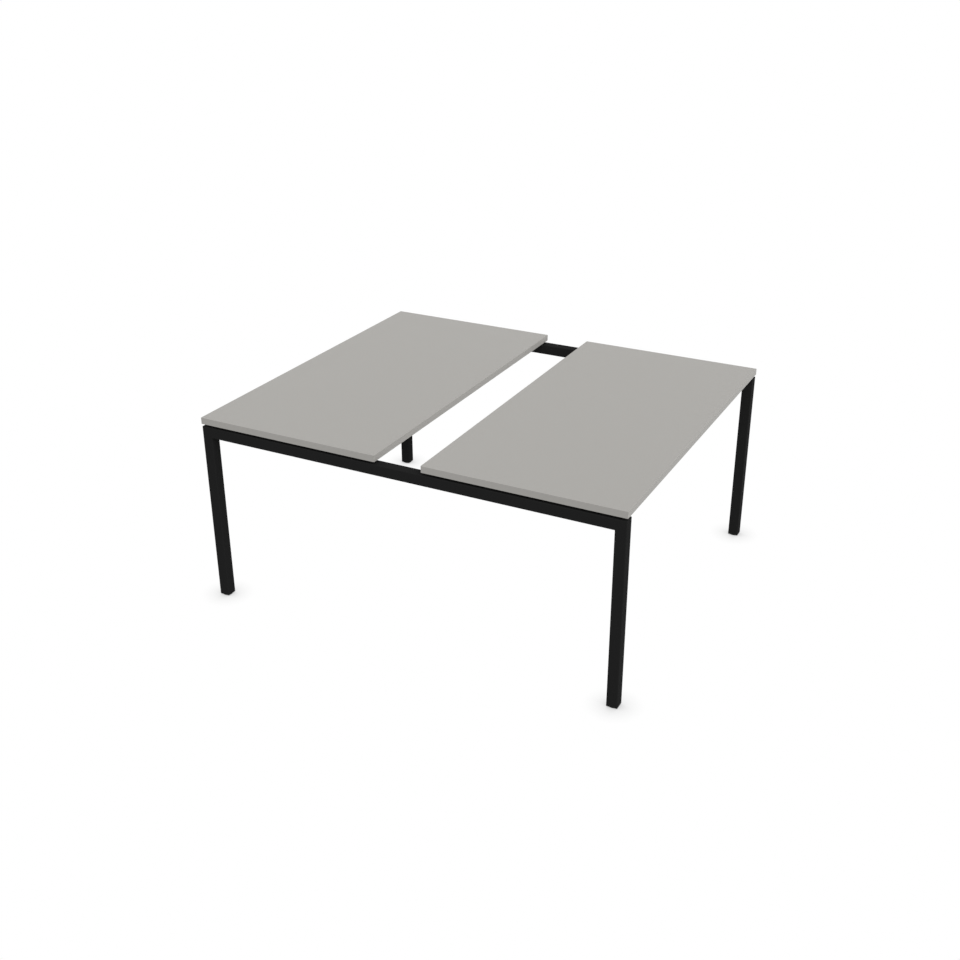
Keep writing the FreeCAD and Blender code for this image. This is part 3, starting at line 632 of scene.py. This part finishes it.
def neck_petal():
    """Outline of one springy petal of the neck, which snaps over the ball."""
    lip = SOCKET_RADIUS * math.cos(math.radians(MOUTH_ARC)) + BEVEL
    outline = [(SLIT_FLOOR, NECK_RADIUS)]
    outline += round_corner(NECK_TOP - PAD_ROUND, NECK_RADIUS - PAD_ROUND, PAD_ROUND, 0, 90)
    outline.append((NECK_TOP, lip))
    outline += ball_arc(SOCKET_RADIUS, MOUTH_ARC, SLIT_ARC)
    return outline


def make_glide(corner):
    """Threaded stem and round pad of one levelling glide."""
    axis = middle(f"{corner}_glide_pad")
    place = (axis.x, axis.y, 0)
    stem = bmesh.new()
    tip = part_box(f"{corner}_glide_stem")[1].z
    add_turned(stem, glide_stem(tip), place, (0, 0, 1))
    make_piece(f"{corner}_stem_threaded", stem, f"{corner}_stem", "zinc_plated_steel",
               f"{corner}_glide_stem")
    pad = bmesh.new()
    add_turned(pad, glide_pad(), place, (0, 0, 1))
    share = 2 * math.pi / PETALS
    for petal in range(PETALS):
        add_revolved(pad, neck_petal(), place, petal * share, (petal + 1) * share - SLIT_ANGLE)
    fuse(pad)
    make_piece(f"{corner}_pad_moulded", pad, f"{corner}_pad", "glide_plastic", f"{corner}_glide_pad")


# Welds

def make_corner_weld(corner):
    """Bead in the inner corner between a leg and the underside of its rail."""
    low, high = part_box(f"{corner}_leg")
    inwards = 1 if corner.endswith("left") else -1
    face = high.x if inwards > 0 else low.x
    mesh = bmesh.new()
    add_bead(mesh, (face, low.y + WELD_MARGIN, RAIL_UNDER), (face, high.y - WELD_MARGIN, RAIL_UNDER),
             (inwards, 0, 0), (0, 0, -1), CORNER_WELD)
    make_piece(f"{corner}_corner_weld", mesh, "frame", "powder_coated_steel")


def make_beam_welds(beam):
    """Beads up both sides of a beam, where it meets its two plates."""
    low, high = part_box(beam)
    plate_low, plate_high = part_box(f"{beam}_plates")
    mesh = bmesh.new()
    for y, inwards in ((low.y, 1), (high.y, -1)):
        for x, outwards in ((low.x, -1), (high.x, 1)):
            add_bead(mesh, (x, y, plate_low.z + WELD_MARGIN), (x, y, plate_high.z - WELD_MARGIN),
                     (outwards, 0, 0), (0, inwards, 0), BEAM_WELD)
    make_piece(f"{beam}_welds", mesh, "frame", "powder_coated_steel")


# Dressing of the frame

for part in frame["record"]["subparts"]:
    surface = frame["nodes"][part["node"]].data.materials
    surface.clear()
    surface.append(FINISHES[part["material_slot"]])

for end in ENDS:
    make_beam_bolts(end)
for side in SIDES:
    make_top_screws(side)
    make_spacers(side)
for corner in CORNERS:
    make_glide(corner)
    make_corner_weld(corner)
for beam in BEAMS:
    make_beam_welds(beam)


# Studio

def seen_directly(tree):
    """1 for camera rays, reflections and rays through glass, 0 for the light that reaches the table."""
    path = add(tree, "ShaderNodeLightPath", {})
    mirrored = add(tree, "ShaderNodeMath", {"operation": "MAXIMUM", 0: path.outputs["Is Glossy Ray"],
                                            1: path.outputs["Is Transmission Ray"]})
    either = add(tree, "ShaderNodeMath", {"operation": "MAXIMUM", 0: path.outputs["Is Camera Ray"],
                                          1: mirrored.outputs[0]})
    return either.outputs[0]


def acrylic_with_painted_shadow():
    """White acrylic sheet, lit from beneath: an even glow on the frame and the undersides. Round the feet a
    painted shadow, a grey that follows the occlusion over the floor, dims that glow and tints the white
    beyond that the eye sees, so a foot that is screwed down lower still shows. From below the sheet is open."""
    material, tree = new_tree("acrylic_with_painted_shadow")
    # Painted shadow: a grey that the floor takes on wherever pieces stand within the reach above it
    painted_shadow_occlusion = add(tree, "ShaderNodeAmbientOcclusion", {"samples": 16, "Distance": PAINTED_SHADOW_REACH})
    painted_shadow = add(tree, "ShaderNodeMix", {"data_type": "RGBA", "Factor": painted_shadow_occlusion.outputs["AO"],
                                        DARK: linear(PAINTED_SHADOW_GREY), PALE: linear(PAPER_WHITE)})
    # The painted shadow also dims the glow that lights the table from the floor
    glow = add(tree, "ShaderNodeEmission", {"Color": painted_shadow.outputs[MIXED], "Strength": FLOOR_GLOW})
    tint = add(tree, "ShaderNodeBsdfTransparent", {"Color": painted_shadow.outputs[MIXED]})
    upper = add(tree, "ShaderNodeMixShader", {0: seen_directly(tree), 1: glow.outputs[0],
                                              2: tint.outputs[0]})
    lower = add(tree, "ShaderNodeBsdfTransparent", {})
    face = add(tree, "ShaderNodeNewGeometry", {})
    sheet = add(tree, "ShaderNodeMixShader", {0: face.outputs["Backfacing"], 1: upper.outputs[0],
                                              2: lower.outputs[0]})
    add(tree, "ShaderNodeOutputMaterial", {"Surface": sheet.outputs[0]})
    return material


def lay_floor():
    """A wide white floor at the height of the feet."""
    mesh = bmesh.new()
    bmesh.ops.create_grid(mesh, x_segments=1, y_segments=1, size=FLOOR_SIDE / 2)
    data = bpy.data.meshes.new("studio_floor")
    mesh.to_mesh(data)
    mesh.free()
    data.materials.append(acrylic_with_painted_shadow())
    floor = bpy.data.objects.new("studio_floor", data)
    bpy.context.scene.collection.objects.link(floor)


def light_world():
    """Even light from all round, which the camera and reflections see as plain white."""
    world = bpy.data.worlds.new("studio")
    world.use_nodes = True
    tree = world.node_tree
    tree.nodes.clear()
    level = add(tree, "ShaderNodeMapRange", {"Value": seen_directly(tree), "To Min": AMBIENT, "To Max": 1.0})
    sky = add(tree, "ShaderNodeBackground", {"Color": linear(PAPER_WHITE), "Strength": level.outputs[0]})
    add(tree, "ShaderNodeOutputWorld", {"Surface": sky.outputs[0]})
    bpy.context.scene.world = world


def hang_key_light():
    """One very wide and distant lamp, on the right and a little to the front: it lights both tops evenly and
    casts no hard edge."""
    lamp = bpy.data.lights.new("key", "SUN")
    lamp.angle = KEY_SPREAD
    lamp.energy = KEY_STRENGTH
    key = bpy.data.objects.new("key", lamp)
    bpy.context.scene.collection.objects.link(key)
    key.rotation_euler = Vector(KEY_FROM).to_track_quat("Z", "Y").to_euler()


def set_camera():
    """Camera at the picture's place and angle."""
    lens = bpy.data.cameras.new("camera")
    lens.sensor_width = SENSOR_MM
    lens.lens = LENS_MM
    lens.shift_x = SIDE_SHIFT
    camera = bpy.data.objects.new("camera", lens)
    bpy.context.scene.collection.objects.link(camera)
    camera.location = CAMERA_PLACE
    camera.rotation_euler = (CAMERA_TILT, 0, CAMERA_TURN)
    bpy.context.scene.camera = camera


lay_floor()
light_world()
hang_key_light()
set_camera()
bpy.context.scene.view_settings.view_transform = "Standard"
